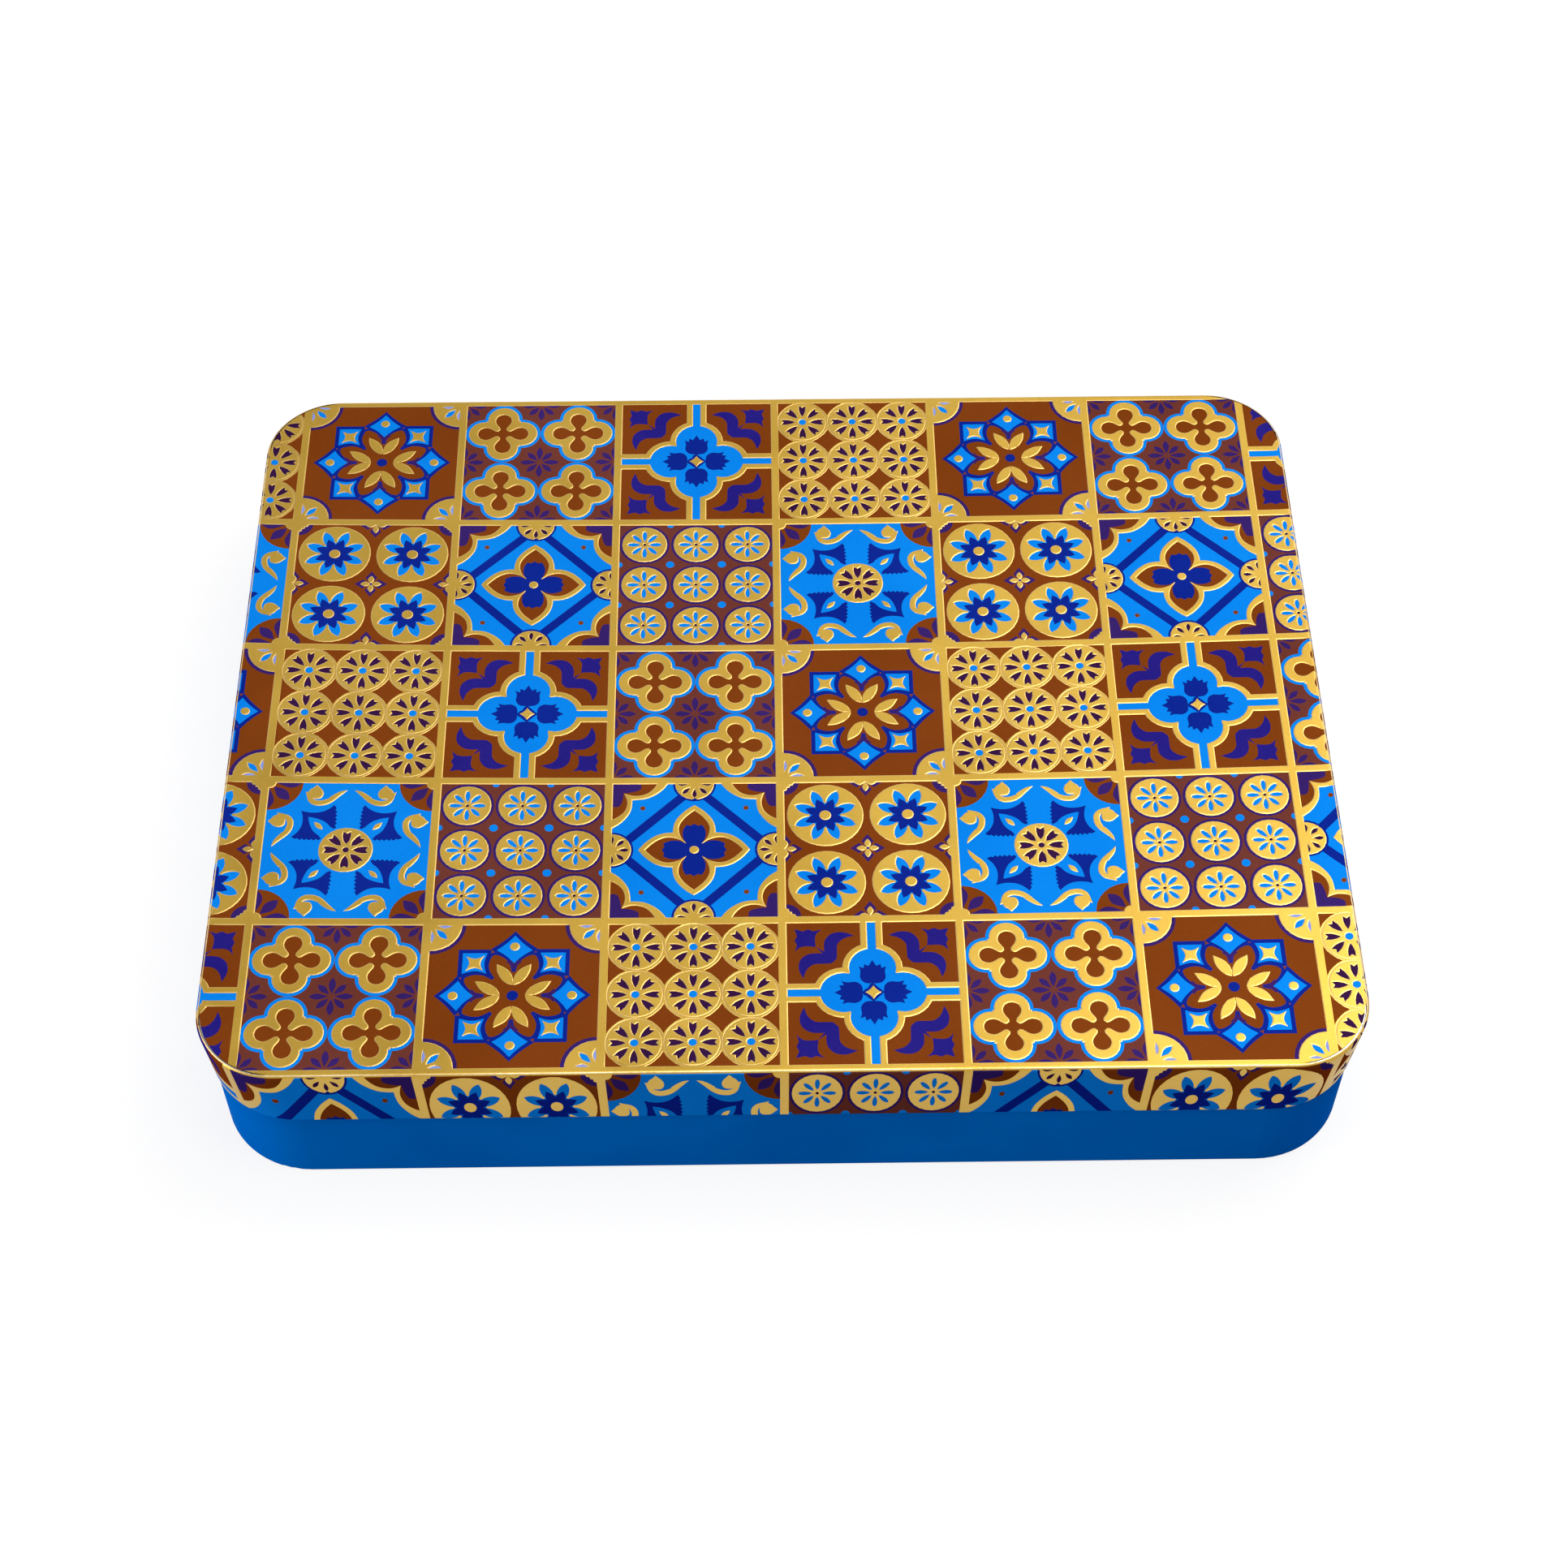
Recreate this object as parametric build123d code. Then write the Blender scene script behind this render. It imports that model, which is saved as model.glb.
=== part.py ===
from build123d import *
from math import copysign, cos, radians, sin, sqrt, tan
import os

# Nut gift box: a slip lid of pressed tinplate over a necked base, with a celled tray and its cover sheet.
# Millimetres. The origin is under the middle of the box, on the surface it stands on. X runs along the
# long side, -Y is the front and Z is up. An inset is measured inwards from the outside of the lid's skirt.

# The closed box
LENGTH = 250.0
DEPTH = 195.0
HEIGHT = 41.0
CORNER = 21.0
TIN = 0.3

# Lid: fold between panel and skirt, sink of the panel's middle, curl along the skirt's lower edge
FOLD = 0.9
SKIRT = 18.0
DISH = 2.8
LID_CURL = 0.6
LID_CURL_TURN = 200.0

# Base wall: foot turned in, straight wall, shoulder under the skirt, neck inside it, curled rim
WALL_INSET = 0.5
FOOT_RADIUS = 0.9
FOOT_INSET = 3.6
NECK_INSET = 1.6
SHOULDER_RADIUS = 0.6
SHOULDER_TURN = 80.0
SHOULDER_GAP = 0.3
RIM_CURL = 1.0
RIM_CURL_TURN = 230.0
RIM_GAP = 0.25

# Locked seam down the back of the wall
SEAM_WIDTH = 5.0
SEAM_LAYERS = 2
SEAM_GROOVE = 0.12
SEAM_GROOVE_WIDTH = 0.4

# Bottom: flat rim on the foot, then two pressed steps up to the raised middle
STEP_INSET = 5.0
STEP_RISE = 1.5
PLATFORM_INSET = 14.0
PLATFORM_RISE = 0.8
PLATFORM_EDGE = 2.0
PRESS_TURN = 60.0

# Tray: thermoformed sheet with a lip turned down round its edge and drafted cells in rows
TRAY_SHEET = 0.5
TRAY_INSET = 4.0
TRAY_TOP = 37.0
TRAY_FOLD = 1.2
LIP = 5.0
COLUMNS = 3
ROWS = 2
CELL_MARGIN = 6.0
DIVIDER = 7.0
CELL_CORNER = 12.0
DRAFT = 5.0
FLOOR_RADIUS = 4.0
MOUTH_RADIUS = 1.6
THUMB_RADIUS = 8.0

# Clear sheet that lies on the tray
COVER = 0.3
COVER_INSET = 4.6

STRAIGHT_X = LENGTH - 2 * CORNER
STRAIGHT_Y = DEPTH - 2 * CORNER
SKIRT_END = HEIGHT - SKIRT
PLATFORM_TOP = 2 * TIN + STEP_RISE + PLATFORM_RISE
FLOOR = PLATFORM_TOP + TRAY_SHEET
CELL_X = (LENGTH - 2 * (TRAY_INSET + CELL_MARGIN) - (COLUMNS - 1) * DIVIDER) / COLUMNS
CELL_Y = (DEPTH - 2 * (TRAY_INSET + CELL_MARGIN) - (ROWS - 1) * DIVIDER) / ROWS


def plan(inset):
    """The box's rounded outline, taken in by an inset."""
    return RectangleRounded(LENGTH - 2 * inset, DEPTH - 2 * inset, CORNER - inset)


def prism(inset, low, high):
    """An upright block on the rounded outline."""
    return Pos(0, 0, low) * extrude(plan(inset), high - low)


def at(inset, height):
    """A point of a section: its distance from the corner's upright axis, then its height."""
    return Vector(CORNER - inset, height)


def folded(start, heading, *moves):
    """The middle line of a folded sheet, drawn on from a start point along a heading in degrees.

    A number runs straight on. A pair bends: its radius, then its turn to the left in degrees.
    """
    edges = []
    point = start
    tangent = Vector(cos(radians(heading)), sin(radians(heading)))
    for move in moves:
        if isinstance(move, tuple):
            edge = JernArc(point, tangent, *move)
        else:
            edge = Line(point, point + tangent * move)
        edges.append(edge)
        point, tangent = edge @ 1, edge % 1
    return edges


def step(rise, radius, turn):
    """The moves of a step to the left, or to the right if negative: a bend, a slope and the bend back."""
    side = copysign(turn, rise)
    slope = (abs(rise) - 2 * radius * (1 - cos(radians(turn)))) / sin(radians(turn))
    return (radius, side), slope, (radius, -side)


def step_run(rise, radius, turn):
    """How far a step reaches along its sheet."""
    slope = step(rise, radius, turn)[1]
    return 2 * radius * sin(radians(turn)) + slope * cos(radians(turn))


def ring(middle_line):
    """A tin section run right round the box: a quarter turn at each corner, a straight run on each side."""
    section = Plane.XZ * trace(middle_line, TIN)
    whole = Part()
    for turn, side, other in ((0, STRAIGHT_Y, STRAIGHT_X), (90, STRAIGHT_X, STRAIGHT_Y)):
        quarter = revolve(section, Axis.Z, 90) + extrude(section, side, dir=(0, -1, 0))
        corner = Pos(other / 2, side / 2) * quarter
        for half in (0, 180):
            whole += Rot(0, 0, turn + half) * corner
    return whole


def dish_above(top):
    """Everything over the sunk panel, which dips by DISH in the middle and rises to level edges."""
    spread = 1.1
    net = (1 - spread**2, 1 + spread**2, 1 - spread**2)
    reach_x, reach_y = spread * LENGTH / 2, spread * DEPTH / 2
    points = [
        [Vector(i * reach_x, j * reach_y, top - DISH * net[i + 1] * net[j + 1]) for j in (-1, 0, 1)]
        for i in (-1, 0, 1)
    ]
    patch = Face.make_bezier_surface(points)
    return extrude(patch, HEIGHT, dir=(0, 0, 1))


def lid_block(inset, fold):
    """The space within one face of the lid's sheet, dished on top and rounded along the fold."""
    block = prism(inset, SKIRT_END + LID_CURL, HEIGHT + TIN) - dish_above(HEIGHT - inset)
    brow = [edge for edge in block.edges() if edge.center().Z > HEIGHT - inset - DISH / 2]
    return fillet(brow, fold)


def lid_shell():
    """Panel, fold and skirt as one sheet, its lower edge curled inwards."""
    shell = lid_block(0, FOLD) - lid_block(TIN, FOLD - TIN)
    curl = folded(at(TIN / 2, SKIRT_END + LID_CURL), -90, (LID_CURL - TIN / 2, -LID_CURL_TURN))
    return shell + ring(curl)


def shoulder_height():
    """Where the wall starts to turn in, so that the lid's curl sits SHOULDER_GAP off the shoulder."""
    outer = SHOULDER_RADIUS + TIN / 2
    across = WALL_INSET + outer - LID_CURL
    apart = LID_CURL + outer + SHOULDER_GAP
    return SKIRT_END + LID_CURL - sqrt(apart**2 - across**2)


def base_wall():
    """Foot, wall, shoulder, neck and curled rim as one sheet, locked down the back."""
    foot = FOOT_RADIUS - TIN / 2
    shoulder = (NECK_INSET - WALL_INSET, SHOULDER_RADIUS, SHOULDER_TURN)
    low = shoulder_height()
    neck_low = low + 2 * SHOULDER_RADIUS * sin(radians(SHOULDER_TURN))
    neck_low += step(*shoulder)[1] * cos(radians(SHOULDER_TURN))
    neck_high = HEIGHT - TIN - RIM_GAP - RIM_CURL
    wall = ring(
        folded(
            at(FOOT_INSET, TIN / 2),
            0,
            FOOT_INSET - WALL_INSET - FOOT_RADIUS,
            (foot, 90),
            low - FOOT_RADIUS,
            *step(*shoulder),
            neck_high - neck_low,
            (RIM_CURL - TIN / 2, RIM_CURL_TURN),
        )
    )
    back = DEPTH / 2 - WALL_INSET
    lock = SEAM_LAYERS * TIN
    rise = low - FOOT_RADIUS
    middle = FOOT_RADIUS + rise / 2
    wall += Pos(0, back - TIN - lock / 2, middle) * Box(SEAM_WIDTH, lock, rise)
    wall -= Pos(SEAM_WIDTH / 2, back, middle) * Box(SEAM_GROOVE_WIDTH, 2 * SEAM_GROOVE, rise)
    return wall


def base_bottom():
    """Pressed panel: its rim lies on the wall's foot, its middle carries the tray."""
    rim = WALL_INSET + FOOT_RADIUS
    first = (-STEP_RISE, TIN, PRESS_TURN)
    second = (-PLATFORM_RISE, TIN, PRESS_TURN)
    line = folded(
        at(rim, 1.5 * TIN),
        180,
        STEP_INSET - rim,
        *step(*first),
        PLATFORM_INSET - STEP_INSET - step_run(*first),
        *step(*second),
        PLATFORM_EDGE,
    )
    panel_inset = CORNER - (line[-1] @ 1).X
    return ring(line) + prism(panel_inset, PLATFORM_TOP - TIN, PLATFORM_TOP)


def tray_air(grow):
    """The space over the tray's sheet, cells and all, grown by the thickness asked for."""
    low = FLOOR - grow
    taken_in = (TRAY_TOP - low) * tan(radians(DRAFT)) - grow
    floor = RectangleRounded(CELL_X - 2 * taken_in, CELL_Y - 2 * taken_in, CELL_CORNER - taken_in)
    cell = extrude(floor, TRAY_TOP - low, taper=-DRAFT)
    cell = fillet(cell.edges().group_by(Axis.Z)[0], FLOOR_RADIUS + grow)
    cells = GridLocations(CELL_X + DIVIDER, CELL_Y + DIVIDER, COLUMNS, ROWS)
    over = Pos(0, 0, TRAY_TOP - grow + LIP) * Box(LENGTH, DEPTH, 2 * LIP)
    air = over + [Pos(0, 0, low) * place * cell for place in cells]
    mouths = air.edges().filter_by(lambda edge: abs(edge.center().Z - TRAY_TOP + grow) < 0.01)
    mouths = mouths.filter_by(lambda edge: abs(edge.center().X) < LENGTH / 2 - 1)
    mouths = mouths.filter_by(lambda edge: abs(edge.center().Y) < DEPTH / 2 - 1)
    return fillet(mouths, MOUTH_RADIUS - grow)


def thumb_cuts():
    """Half-round cuts at both ends, where fingers lift the tray and its cover."""
    end = LENGTH / 2 - TRAY_INSET
    cut = Pos(0, 0, TRAY_TOP) * Cylinder(THUMB_RADIUS, 3 * LIP)
    return [Pos(side * end, 0, 0) * cut for side in (-1, 1)]


def nut_tray():
    """One sheet: flange, lip and six cells that stand on the raised bottom."""
    lip_low = TRAY_TOP - LIP
    outer = prism(TRAY_INSET, lip_low, TRAY_TOP)
    outer = fillet(outer.edges().group_by(Axis.Z)[-1], TRAY_FOLD)
    inner = prism(TRAY_INSET + TRAY_SHEET, lip_low, TRAY_TOP - TRAY_SHEET)
    inner = fillet(inner.edges().group_by(Axis.Z)[-1], TRAY_FOLD - TRAY_SHEET)
    cells = tray_air(TRAY_SHEET) & prism(TRAY_INSET + CELL_MARGIN / 2, 0, TRAY_TOP)
    return outer - inner + cells - tray_air(0) - thumb_cuts()


def cover_sheet():
    """Flat clear sheet over the cells, cut out for the fingers like the tray."""
    return prism(COVER_INSET, TRAY_TOP, TRAY_TOP + COVER) - thumb_cuts()


os.makedirs("parts", exist_ok=True)
for make in (lid_shell, base_wall, base_bottom, nut_tray, cover_sheet):
    export_step(make(), f"parts/{make.__name__}.step")
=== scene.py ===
"""Dresses the nut gift box: its printed and embossed lid, lacquer, tin and plastics, and a plain studio.

The print is drawn in tiles, each in a square of side 1 about its own middle, and laid out flat in
millimetres. Blender gets metres, in the frame of the CAD model.
"""

from math import acos, atan2, ceil, cos, hypot, inf, pi, radians, sin, sqrt

import bmesh
import bpy
import numpy as np
from mathutils import Matrix, Vector
from mathutils.geometry import delaunay_2d_cdt


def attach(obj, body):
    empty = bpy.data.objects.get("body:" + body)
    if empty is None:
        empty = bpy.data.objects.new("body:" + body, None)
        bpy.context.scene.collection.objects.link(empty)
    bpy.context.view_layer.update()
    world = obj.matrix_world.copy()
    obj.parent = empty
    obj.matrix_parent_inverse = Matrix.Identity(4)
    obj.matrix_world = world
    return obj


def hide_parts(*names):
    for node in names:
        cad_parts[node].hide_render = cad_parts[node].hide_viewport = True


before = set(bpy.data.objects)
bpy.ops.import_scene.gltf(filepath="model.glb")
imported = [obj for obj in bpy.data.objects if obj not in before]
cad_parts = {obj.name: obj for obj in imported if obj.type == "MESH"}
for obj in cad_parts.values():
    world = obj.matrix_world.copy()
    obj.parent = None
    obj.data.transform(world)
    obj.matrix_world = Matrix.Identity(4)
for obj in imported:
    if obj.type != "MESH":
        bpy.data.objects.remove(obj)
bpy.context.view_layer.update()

MM = 0.001

# The lid, as in the CAD model, in millimetres
LENGTH = 250.0
DEPTH = 195.0
HEIGHT = 41.0
CORNER = 21.0
TIN = 0.3
FOLD = 0.9
SKIRT = 18.0
DISH = 2.8
LID_CURL = 0.6
LID_CURL_TURN = 200

# The panel's corners are tighter than those of the skirt's lower edge, which start this much earlier
TOP_CORNER = 17.5
EASING = CORNER - TOP_CORNER

# The print: one tile, the half width of its field inside the gold bars, and the relief of the gold
PITCH = 38.6
INNER = 0.476
RELIEF = 0.12
SLOPE = 0.25

# Where the gold's outline turns back sharper than this it isn't moved in for its slope, and nowhere by more
# slopes than this. A triangle of the gold keeps this share of its area, or its shifts are eased in rounds.
SHARPEST = 0.15
FARTHEST = 1.5
KEPT_AREA = 0.12
EASED = 0.6
ROUNDS = 12

# How much of the slope's tilt its normals show, at its foot and at its top
FOOT_TILT, TOP_TILT = 0.5, 0.2

# How finely a tile is drawn: how far a circle's sides cut inside it, the pieces of a curve, and the cells
# each way
SAGITTA = 0.0012
PIECE = 0.02
CELLS = 8

# How much taller the print is on the skirt than on the panel
STRETCH = 1.44

# Which tile stands where: rows from back to front, each from left to right
ROWS = ("FHGEFHGE", "DABCDABC", "GEFHGEFH", "ADCBADCB", "EGHFEGHF", "CBADCBAD", "HFEGHFEG")

# The inks and varnishes: their tone, a darker one, and how much of the metal they show
INK, VARNISH = 0.12, 0.9
INKS = {
    "gold": ((205, 168, 74), (193, 154, 62), 0.95),
    "brown": ((134, 66, 22), (122, 58, 14), INK),
    "plum": ((116, 60, 52), (106, 52, 42), INK),
    "sky": ((14, 139, 242), (8, 129, 234), INK),
    "navy": ((18, 42, 150), (10, 34, 136), INK),
    "indigo": ((44, 36, 136), (34, 26, 122), INK),
    "violet": ((62, 38, 114), (50, 30, 98), INK),
    "lilac": ((150, 166, 236), (128, 150, 226), INK),
    "dark": ((60, 28, 74), (50, 20, 58), INK),
    "groove": ((196, 160, 96), (178, 140, 72), VARNISH),
    # Painted highlight: the gold's sloped edges take this paler gold, a light outline round the gold
    "rim": ((222, 188, 112), (208, 172, 92), VARNISH),
    # Painted highlight: a near-white line along the fold, broken up with gold
    "painted_fold_highlight": ((255, 240, 205), (204, 160, 64), VARNISH),
}
PAINTS = (*INKS, "tin")


def disc(x, y, radius):
    """A circle, with as many sides as its size needs."""
    count = max(8, ceil(pi / acos(1 - SAGITTA / radius)))
    turns = [2 * pi * k / count for k in range(count)]
    return [(x + radius * cos(turn), y + radius * sin(turn)) for turn in turns]


def outline(*knots):
    """A closed line. A knot of two numbers is a corner, and through one of three the line runs round."""
    points = []
    count = len(knots)
    for k, knot in enumerate(knots):
        before, after, beyond = knots[k - 1], knots[(k + 1) % count], knots[(k + 2) % count]
        chord = (after[0] - knot[0], after[1] - knot[1])
        leave = arrive = chord
        if len(knot) == 3:
            leave = ((after[0] - before[0]) / 2, (after[1] - before[1]) / 2)
        if len(after) == 3:
            arrive = ((beyond[0] - knot[0]) / 2, (beyond[1] - knot[1]) / 2)
        if len(knot) == 2 and len(after) == 3:
            leave = tuple((3 * chord[i] - arrive[i]) / 2 for i in (0, 1))
        if len(knot) == 3 and len(after) == 2:
            arrive = tuple((3 * chord[i] - leave[i]) / 2 for i in (0, 1))
        steps = 1 if len(knot) == len(after) == 2 else max(2, round(hypot(*chord) / PIECE))
        for step in range(steps):
            t = step / steps
            near, far, whole = t**3 - 2 * t**2 + t, t**3 - t**2, 3 * t**2 - 2 * t**3
            points.append(tuple(knot[i] + whole * chord[i] + near * leave[i] + far * arrive[i]
                                for i in (0, 1)))
    return points


def turned(shapes, count, first=0):
    """Copies of the shapes turned about the middle, evenly."""
    copies = []
    for k in range(count):
        turn = radians(first + 360 * k / count)
        c, s = cos(turn), sin(turn)
        copies += [[(x * c - y * s, x * s + y * c) for x, y in shape] for shape in shapes]
    return copies


def both(shapes):
    """The shapes and their mirror images left to right."""
    return shapes + [[(-x, y) for x, y in shape] for shape in shapes]


def put(shapes, *places):
    """Copies of the shapes moved to each place."""
    return [[(x + dx, y + dy) for x, y in shape] for dx, dy in places for shape in shapes]


def swapped(knots):
    """The knots mirrored in the tile's diagonal, in reverse order."""
    return [(knot[1], knot[0], *knot[2:]) for knot in reversed(knots)]


def symmetric(half):
    """A shape from the knots of its right half, which starts and ends on the middle line."""
    inner = [knot for knot in half if knot[0] != 0]
    return outline(*half, *[(-knot[0], *knot[1:]) for knot in reversed(inner)])


def square(reach):
    """An upright square about the middle."""
    return [(-reach, -reach), (reach, -reach), (reach, reach), (-reach, reach)]


def leaf(start, end, width, fat=0.5):
    """A leaf that points straight up: from and to these heights, widest at a share of its length."""
    wide = start + (end - start) * fat
    return symmetric([(0, start), (width / 2, wide, 1), (0, end)])


def sides(shape):
    """The sides of a closed line, each a pair of points."""
    return list(zip(shape, shape[1:] + shape[:1]))


# Places in a tile: its field's corners, the middles of its sides, four or nine discs and the gaps between
CORNERS = [(i * INNER, j * INNER) for i in (-1, 1) for j in (-1, 1)]
MIDDLES = [(0, INNER), (INNER, 0), (0, -INNER), (-INNER, 0)]
FOUR = [(i * 0.24, j * 0.24) for i in (-1, 1) for j in (-1, 1)]
NINE = [(i * 0.32, j * 0.32) for i in (-1, 0, 1) for j in (-1, 0, 1)]
BETWEEN = [(i * 0.16, j * 0.16) for i in (-1, 1) for j in (-1, 1)]
BESIDE = [(i * 0.16, INNER) for i in (-1, 1)]


def star():
    """An eight-leaved star in a ring of diamonds and squares, with a fan in each corner."""
    place = (0.216, 0.218)
    hollow = outline((-0.068, -0.066), (0.0, -0.052, 1), (0.07, -0.068), (0.07, 0.07), (-0.07, 0.07),
        (-0.051, 0.0, 1))
    spark = outline((-0.05, -0.048), (0, -0.03, 1), (0.052, -0.05), (0.032, 0, 1), (0.05, 0.05),
        (0, 0.032, 1), (-0.05, 0.052), (-0.03, 0, 1))
    block = outline((0.122, 0.13), (0.31, 0.13), (0.31, 0.312), (0.122, 0.312))
    diamond = symmetric([(0, 0.405), (0.046, 0.352, 1), (0.1, 0.305), (0.047, 0.268, 1), (0, 0.217)])
    frame_line = symmetric([(0, 0.434), (0.06, 0.37, 1), (0.132, 0.312), (0.05, 0.24), (0, 0.19)])
    petal = symmetric([(0, 0), (0.052, 0.15, 1), (0.054, 0.236, 1), (0, 0.296, 1)])
    ring = symmetric([(0, 0), (0.064, 0.15, 1), (0.068, 0.24, 1), (0, 0.314, 1)])
    blade = outline((0.096, 0.212), (0.091, 0.16, 1), (0.066, 0.11, 1), (0.035, 0.081, 1), (0.002, 0.07),
                    (0.004, 0.124, 1), (0.034, 0.175, 1))
    cusp = symmetric([(0, 0.158), (0.012, 0.195, 1), (0.045, 0.228), (0, 0.25)])
    side = outline((0.04, 0.004), (0.078, 0.019, 1), (0.118, 0.006), (0.078, 0.001, 1))
    edges = [side, [(y, x) for x, y in side]]
    fan = turned([leaf(0.042, 0.132, 0.036, 0.55)], 1, -45)
    return [
        ("brown", [square(0.5)]),
        ("violet", put([disc(0, 0, 0.197)], *CORNERS)),
        ("gold", put([disc(0, 0, 0.175)], *CORNERS)),
        ("sky", turned(put(fan, (-INNER, -INNER)), 4)),
        ("lilac", turned(put(edges, (-INNER, -INNER)), 4)),
        ("navy", turned([block, frame_line], 4) + turned([ring], 8, 22.5)),
        ("brown", [disc(0, 0, 0.16)] + turned([petal], 8, 22.5)),
        ("violet", turned([cusp], 4)),
        ("sky", turned([diamond] + put([hollow], place), 4)),
        ("gold", turned([disc(0, 0.33, 0.028)] + put([spark], place) + both([blade]), 4)),
        ("navy", [disc(0, 0, 0.033)]),
    ]


def quatrefoils():
    """Four quatrefoils, each pierced by a cross of drops, with flowers between."""
    lobes = turned([disc(0, 0.12, 0.1)], 4) + [square(0.11)]
    rims = turned([disc(0, 0.12, 0.12)], 4)
    drops = [(0, 0.161, 1), (0.037, 0.146, 1), (0.051, 0.109, 1), (0.04, 0.077, 1), (0.022, 0.052, 1)]
    drops += [(0.019, 0.034, 1), (0.026, 0.026, 1)]
    quarter = drops + swapped(drops[1:-1])
    cross = [(x * cos(t) + y * sin(t), y * cos(t) - x * sin(t), 1)
             for t in (0, pi / 2, pi, -pi / 2) for x, y, _ in quarter]
    flower = turned([leaf(0.018, 0.124, 0.04, 0.6)], 4) + turned([leaf(0.018, 0.11, 0.038, 0.6)], 4, 45)
    return [
        ("plum", [square(0.5)]),
        ("violet", put(flower, (0, 0), *MIDDLES, *CORNERS)),
        ("sky", put(rims, *FOUR)),
        ("gold", put(lobes, *FOUR)),
        ("brown", put([outline(*cross)], *FOUR)),
    ]


def crosses():
    """A cross through a four-lobed medallion of tulips, with a tulip and two leaves in each field."""
    def arms(half):
        upright = [(-half, -0.5), (half, -0.5), (half, 0.5), (-half, 0.5)]
        return [upright] + turned([upright], 1, 90)

    def medallion(grow):
        return turned([disc(0, 0.165, 0.132 + grow)], 4) + [square(0.13 + grow)]

    tulip = symmetric([(0, 0.217), (0.022, 0.178), (0.046, 0.19), (0.05, 0.163), (0.077, 0.175),
        (0.068, 0.14, 1), (0.072, 0.1, 1), (0.05, 0.066, 1), (0, 0.058, 1)])
    bud = outline((0.311, 0.314), (0.314, 0.39, 1), (0.28, 0.43), (0.325, 0.419), (0.355, 0.432),
        (0.385, 0.418), (0.435, 0.43), (0.418, 0.385), (0.432, 0.355), (0.419, 0.325), (0.43, 0.278),
        (0.39, 0.314, 1))
    hook = [(0.232, 0.208), (0.2, 0.226, 1), (0.196, 0.29, 1), (0.192, 0.328, 1), (0.158, 0.366, 1),
        (0.098, 0.386), (0.16, 0.411, 1), (0.222, 0.402, 1), (0.26, 0.36, 1), (0.268, 0.31, 1),
        (0.264, 0.264)]
    spike = outline((0.246, 0.262), (0.262, 0.246), (0.31, 0.31))
    gem = [(0, 0.045), (0.019, 0.019, 1), (0.045, 0), (0.019, -0.019, 1), (0, -0.045), (-0.019, -0.019, 1),
           (-0.045, 0), (-0.019, 0.019, 1)]
    return [
        ("brown", [square(0.5)]),
        ("indigo", turned([bud, spike, outline(*hook), outline(*swapped(hook))], 4)),
        ("gold", arms(0.063) + medallion(0.037)),
        ("sky", arms(0.024) + medallion(0)),
        ("navy", turned([tulip], 4) + turned([square(0.044)], 1, 45)),
        ("gold", [outline(*gem)]),
    ]


def nine_large():
    """Nine touching rosettes with hollow diamonds between them."""
    side = [(0.098, 0), (0.066, 0.018), (0.041, 0.041), (0.018, 0.066)]
    diamond = [point for turn in turned([side], 4) for point in turn]
    petal = symmetric([(0, 0.046), (0.0125, 0.07), (0.0205, 0.1), (0.0205, 0.136), (0, 0.12)])
    return [
        ("gold", [square(0.5)]),
        ("groove", put([disc(0, 0, 0.1575)], *NINE)),
        ("gold", put([disc(0, 0, 0.153)], *NINE)),
        ("brown", put([diamond], *BETWEEN, *CORNERS) + turned(put([diamond], *BESIDE), 4)),
        ("dark", put(turned([petal], 8), *NINE)),
        ("sky", put([disc(0, 0, 0.024)], *NINE)),
    ]


def four_flowers():
    """Four discs, each with a flower on it, and a small flower in the middle."""
    outer = symmetric([(0, 0.02), (0.028, 0.085, 1), (0.032, 0.125, 1), (0.022, 0.162, 1), (0, 0.188)])
    inner = symmetric([(0, 0), (0.025, 0.045, 1), (0.026, 0.085, 1), (0, 0.125)])
    small = turned([symmetric([(0, 0), (0.019, 0.03, 1), (0.012, 0.052, 1), (0, 0.065)])], 4)
    fringe = turned([symmetric([(0, 0), (0.036, 0.05), (0, 0.1)])], 4)
    steps = outline((0, 0), (0.058, 0), (0.05, 0.015), (0.034, 0.018), (0.032, 0.032), (0.018, 0.034),
        (0.015, 0.05), (0, 0.058))
    return [
        ("brown", [square(0.5)]),
        ("violet", put(fringe, (0, 0), *MIDDLES) + put([disc(0, 0, 0.085)], *CORNERS)),
        ("gold", put([disc(0, 0, 0.223)], *FOUR) + put(small, (0, 0), *MIDDLES)
         + put(turned([steps], 4), *CORNERS)),
        ("sky", put(turned([outer], 8, 22.5) + [disc(0, 0, 0.09)], *FOUR)),
        ("navy", put(turned([inner], 8, 22.5) + [disc(0, 0, 0.068)], *FOUR) + [disc(0, 0, 0.009)]),
        ("gold", put([disc(0, 0, 0.035)], *FOUR)),
    ]


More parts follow.
